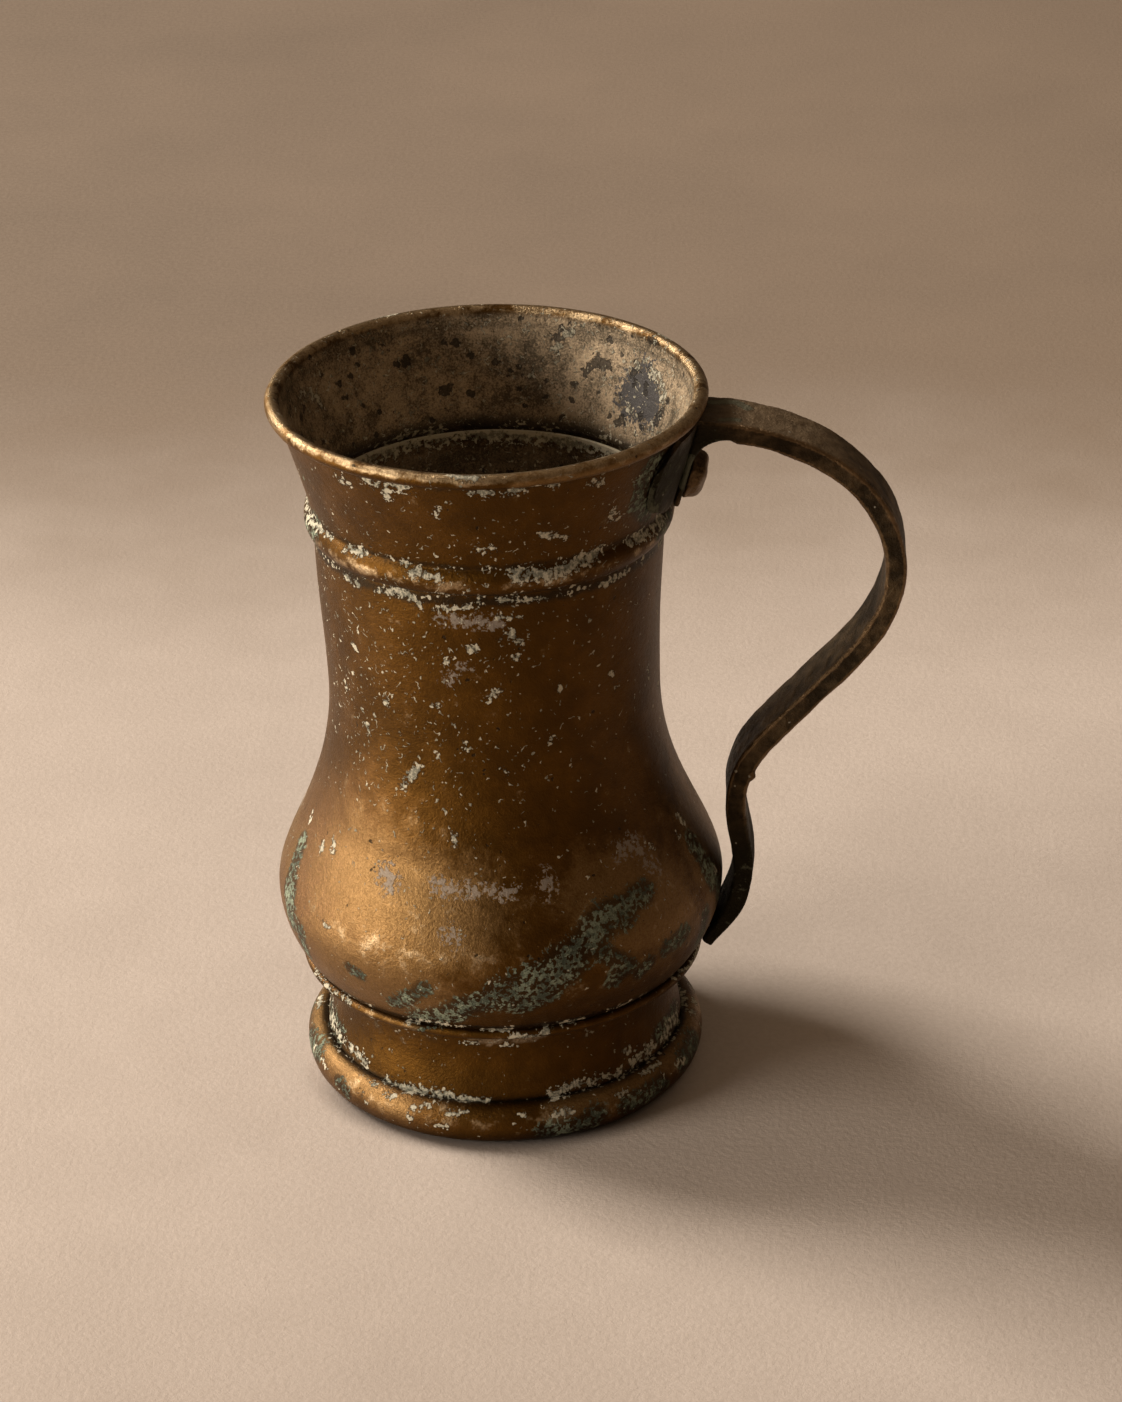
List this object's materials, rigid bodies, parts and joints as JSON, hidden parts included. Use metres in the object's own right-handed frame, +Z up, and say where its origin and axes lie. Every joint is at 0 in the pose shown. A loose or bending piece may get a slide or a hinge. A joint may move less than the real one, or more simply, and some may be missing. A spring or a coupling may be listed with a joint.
{
  "type": "copper cup",
  "caption": "Footed copper cup with a swelling belly, a flared mouth collar above a raised bead, and a riveted strap handle.",
  "frame": {"origin": "on the table, under the middle of the bounding box of the whole cup with its handle", "axes": "+Z up along the cup's axis, +X from the cup towards the handle, +Y across the handle"},
  "size_m": [0.1296, 0.0926, 0.1513],
  "materials": {
    "aged_copper": "aged copper-brown sheet, satin, worn brighter on the rim, the bead and the belly, with lime and verdigris",
    "dark_copper": "dark brown forged copper, nearly black in the hollows, with worn edges",
    "tinned_copper": "dull grey-brown worn tinning, pitted and stained"
  },
  "bodies": {
    "root": {"mouth_collar": "aged_copper", "rim_wire": "dark_copper", "body_shell": "aged_copper", "floor_disc": "tinned_copper", "foot_ring": "aged_copper", "strap_handle": "dark_copper", "upper_rivet": "dark_copper", "upper_rivet_rove": "dark_copper", "lower_rivet": "dark_copper", "lower_rivet_rove": "dark_copper"}
  },
  "joints": []
}
